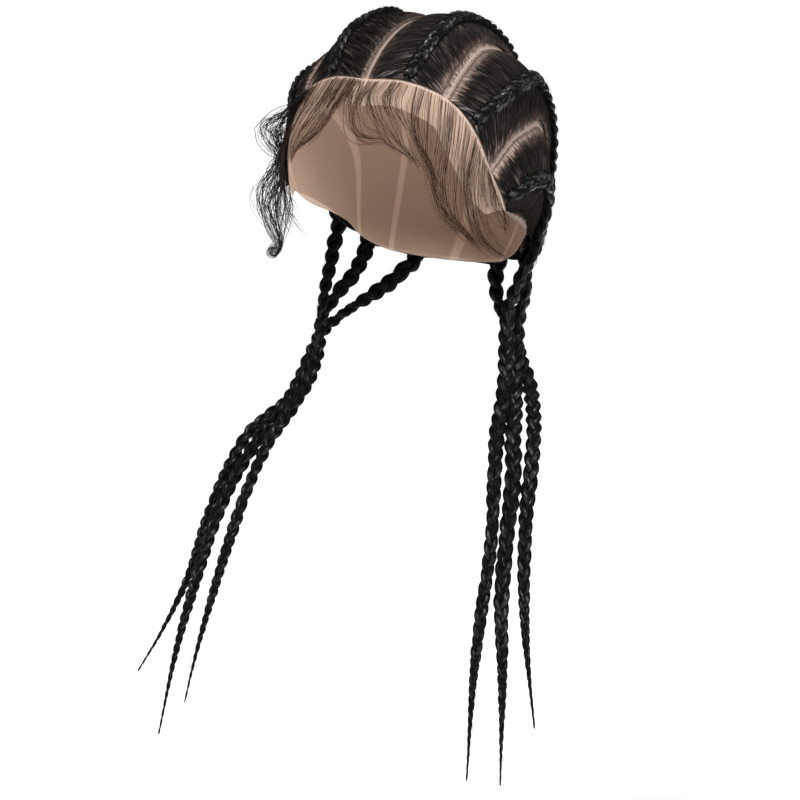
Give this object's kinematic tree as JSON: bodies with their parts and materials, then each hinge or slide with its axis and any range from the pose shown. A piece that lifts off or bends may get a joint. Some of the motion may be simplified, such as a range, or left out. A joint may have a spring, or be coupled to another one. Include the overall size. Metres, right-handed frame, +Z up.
{
  "type": "cornrow braid wig",
  "caption": "Black cornrow braid wig on a lace cap: plaits run back over the head from a lace front with baby hair, leave it at the nape and hang forward on both sides.",
  "frame": {"origin": "top of the head hollow, on the cap's inner face at the crown", "axes": "+Z up, the wearer faces -Y, the wearer's left is +X"},
  "size_m": [0.2862, 0.2202, 0.5108],
  "materials": {
    "lace": "sheer tan lace net",
    "hair": "combed black hair with a soft sheen",
    "plait": "plaited black hair with a broken sheen",
    "fringe": "fine loose dark hair"
  },
  "bodies": {
    "root": {"lace_cap": "lace", "swept_hair_left_top": "hair", "swept_hair_left_side": "hair", "swept_hair_left_low": "hair", "swept_hair_right_top": "hair", "swept_hair_right_side": "hair", "swept_hair_right_low": "hair", "braid_left_top": "plait", "braid_left_side": "plait", "braid_left_low": "plait", "braid_right_top": "plait", "braid_right_side": "plait", "braid_right_low": "plait", "baby_hair": "fringe"}
  },
  "joints": []
}
